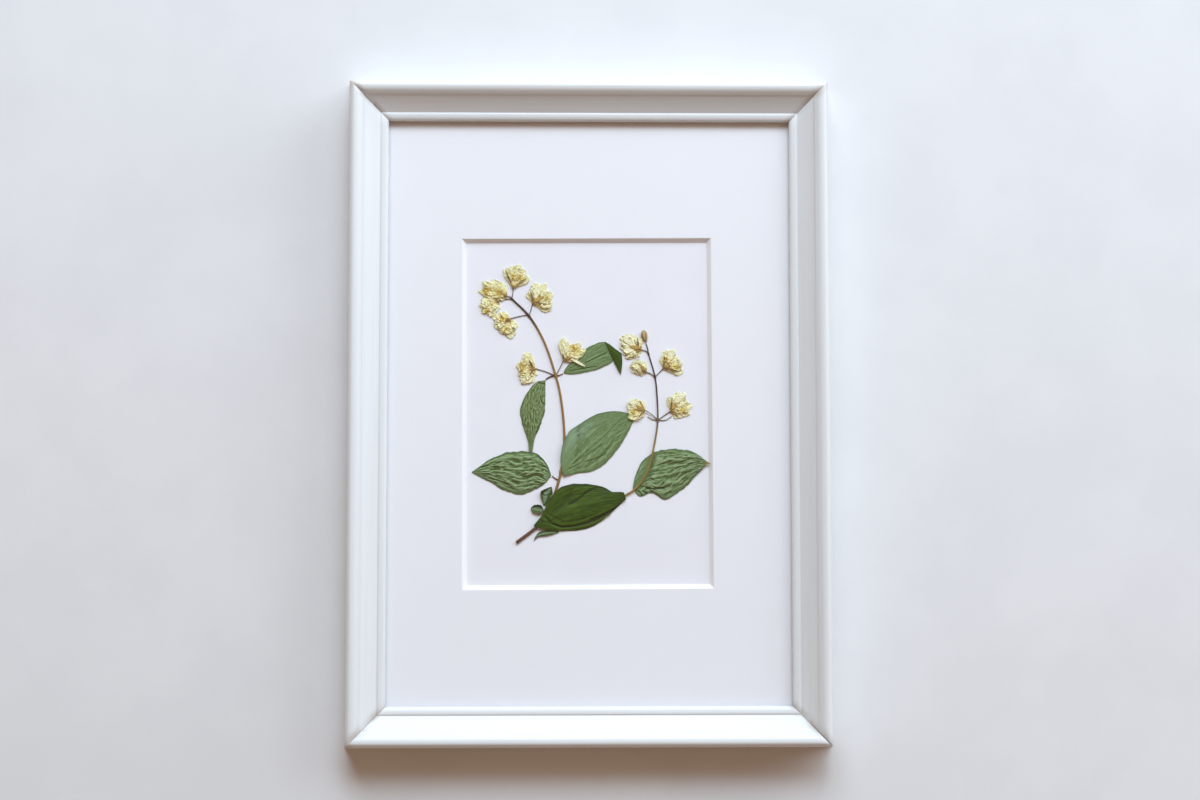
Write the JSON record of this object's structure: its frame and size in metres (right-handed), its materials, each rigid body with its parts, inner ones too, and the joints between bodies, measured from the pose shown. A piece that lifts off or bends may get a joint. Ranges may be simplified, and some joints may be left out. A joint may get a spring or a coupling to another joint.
{
  "type": "pressed flower frame",
  "caption": "Portrait picture frame in white painted moulding with glass and a bevelled window mat, holding a pressed flowering sprig with leaves; lies on its back or hangs.",
  "frame": {"origin": "on the surface the frame lies on, under the middle of the frame", "axes": "+Z out of the picture's face, +Y towards the picture's top edge, +X to the right when looking at the picture"},
  "size_m": [0.2426, 0.3326, 0.0228],
  "materials": {
    "paint": "white satin paint brushed over wood, grain lines just showing",
    "pane": "clear picture glass, ground arris",
    "mat": "white mat board with a fine grain and a white bevel",
    "card": "smooth white card",
    "hardboard": "brown hardboard",
    "tin": "zinc-plated sheet steel",
    "bark": "dried brown bark",
    "stem": "dried straw-brown stem, darker at the nodes",
    "leaf_pale": "dried leaf, pale matt underside with veins and wrinkles",
    "leaf_dark": "dried leaf, dark green upper side",
    "petal": "dried cream petals with golden-brown hearts",
    "bud": "dried tan bud"
  },
  "bodies": {
    "root": {"rail_top": "paint", "rail_left": "paint", "rail_bottom": "paint", "rail_right": "paint", "tab_top_1": "tin", "tab_top_2": "tin", "tab_left_1": "tin", "tab_left_2": "tin", "tab_left_3": "tin", "tab_bottom_1": "tin", "tab_bottom_2": "tin", "tab_right_1": "tin", "tab_right_2": "tin", "tab_right_3": "tin", "backing_board": "hardboard", "backing_sheet": "card", "mat_board": "mat", "glass_pane": "pane", "hanger_plate": "tin", "hanger_rivet_1": "tin", "hanger_rivet_2": "tin", "twig": "bark", "left_shoot": "stem", "right_shoot": "stem", "leaf_lower_left": "leaf_pale", "leaf_upper_left": "leaf_pale", "leaf_centre": "leaf_pale", "leaf_right": "leaf_pale", "leaf_top": "leaf_pale", "leaf_bud_upper": "leaf_pale", "leaf_bud_middle": "leaf_pale", "leaf_bud_lower": "leaf_pale", "leaf_front": "leaf_dark", "flower_crown": "petal", "flower_crown_left": "petal", "flower_crown_low": "petal", "flower_shoulder_right": "petal", "flower_shoulder_left": "petal", "flower_waist_left": "petal", "flower_waist_right": "petal", "flower_top_right": "petal", "flower_small": "petal", "flower_middle_right": "petal", "flower_low_left": "petal", "flower_low_right": "petal", "bud": "bud"}
  },
  "joints": []
}
